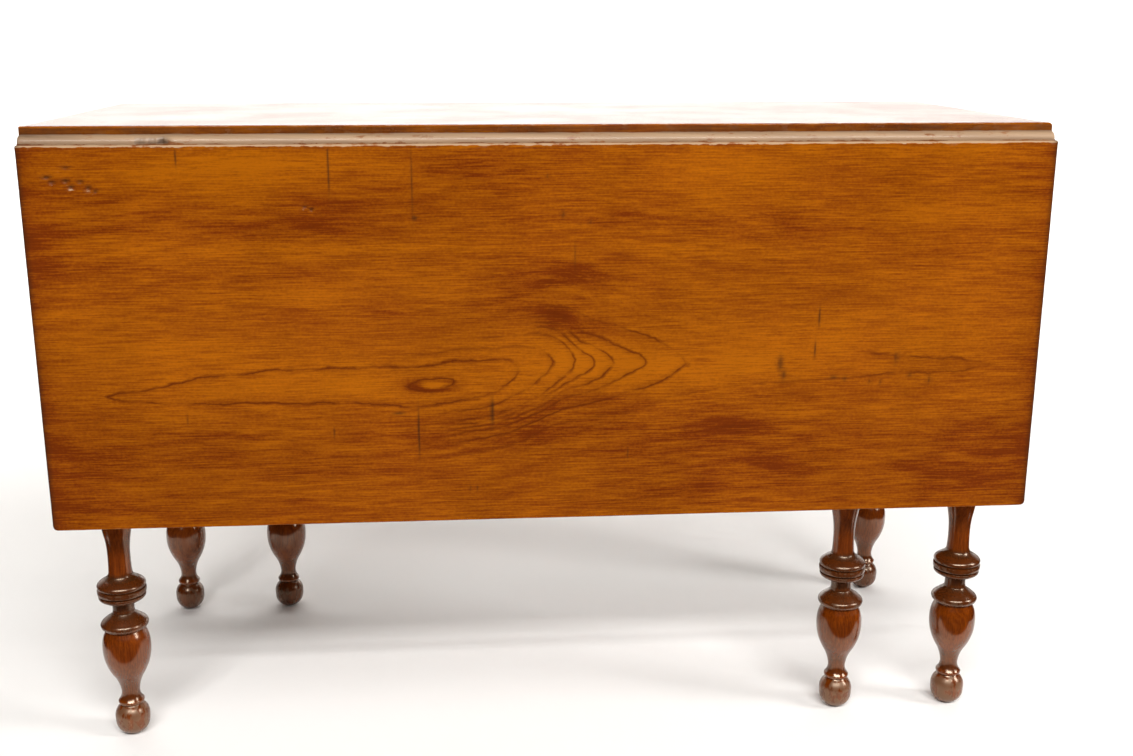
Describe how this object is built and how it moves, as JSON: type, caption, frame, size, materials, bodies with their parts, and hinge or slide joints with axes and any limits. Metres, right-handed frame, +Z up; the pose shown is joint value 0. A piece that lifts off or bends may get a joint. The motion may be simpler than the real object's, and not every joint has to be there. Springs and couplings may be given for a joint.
{
  "type": "drop-leaf table",
  "caption": "Drop-leaf dining table with hanging leaves on rule joints, turned legs, and swing legs on wooden knuckle joints that carry the raised leaves.",
  "frame": {"origin": "middle of the table on the floor", "axes": "+X along the table, +Y from the front leaf to the rear leaf, +Z up"},
  "size_m": [1.124, 0.478, 0.73],
  "materials": {
    "board_wood": "old glossy varnish",
    "leg_wood": "old glossy varnish",
    "rail_wood": "bare planed wood",
    "iron": "dull forged iron"
  },
  "bodies": {
    "frame": {"end_rail_left": "board_wood", "end_rail_right": "board_wood", "fixing_block_front_1": "rail_wood", "fixing_block_front_2": "rail_wood", "fixing_block_front_3": "rail_wood", "fixing_block_left": "rail_wood", "fixing_block_rear_1": "rail_wood", "fixing_block_rear_2": "rail_wood", "fixing_block_rear_3": "rail_wood", "fixing_block_right": "rail_wood", "fixing_screws": "iron", "frame_pegs": "leg_wood", "hinge_pin_front_1": "iron", "hinge_pin_front_2": "iron", "hinge_pin_front_3": "iron", "hinge_pin_rear_1": "iron", "hinge_pin_rear_2": "iron", "hinge_pin_rear_3": "iron", "hinge_rail_front": "rail_wood", "hinge_rail_rear": "rail_wood", "hinge_rail_screws": "iron", "hinge_top_plate_front_1": "iron", "hinge_top_plate_front_2": "iron", "hinge_top_plate_front_3": "iron", "hinge_top_plate_rear_1": "iron", "hinge_top_plate_rear_2": "iron", "hinge_top_plate_rear_3": "iron", "hinge_top_screws": "iron", "inner_rail_front": "rail_wood", "inner_rail_rear": "rail_wood", "knuckle_pin_front": "iron", "knuckle_pin_rear": "iron", "leg_front_left": "leg_wood", "leg_front_right": "leg_wood", "leg_rear_left": "leg_wood", "leg_rear_right": "leg_wood", "top_board": "board_wood"},
    "leaf_front_body": {"hinge_leaf_plate_front_1": "iron", "hinge_leaf_plate_front_2": "iron", "hinge_leaf_plate_front_3": "iron", "leaf_front": "board_wood", "leaf_front_screws": "iron"},
    "leaf_rear_body": {"hinge_leaf_plate_rear_1": "iron", "hinge_leaf_plate_rear_2": "iron", "hinge_leaf_plate_rear_3": "iron", "leaf_rear": "board_wood", "leaf_rear_screws": "iron"},
    "swing_front_body": {"fly_rail_front": "rail_wood", "swing_leg_front": "leg_wood", "swing_pegs_front": "leg_wood"},
    "swing_rear_body": {"fly_rail_rear": "rail_wood", "swing_leg_rear": "leg_wood", "swing_pegs_rear": "leg_wood"}
  },
  "joints": [
    {"name": "leaf_front_hinge", "type": "hinge", "parent": "frame", "child": "leaf_front_body", "pos_m": [0, -0.221, 0.712], "axis": [-1, 0, 0], "range_deg": [0, 90]},
    {"name": "leaf_rear_hinge", "type": "hinge", "parent": "frame", "child": "leaf_rear_body", "pos_m": [0, 0.221, 0.712], "axis": [1, 0, 0], "range_deg": [0, 90]},
    {"name": "swing_leg_front_turn", "type": "hinge", "parent": "frame", "child": "swing_front_body", "pos_m": [0, -0.163, 0.644], "axis": [0, 0, -1], "range_deg": [0, 1]},
    {"name": "swing_leg_rear_turn", "type": "hinge", "parent": "frame", "child": "swing_rear_body", "pos_m": [0, 0.163, 0.644], "axis": [0, 0, -1], "range_deg": [0, 1]}
  ]
}
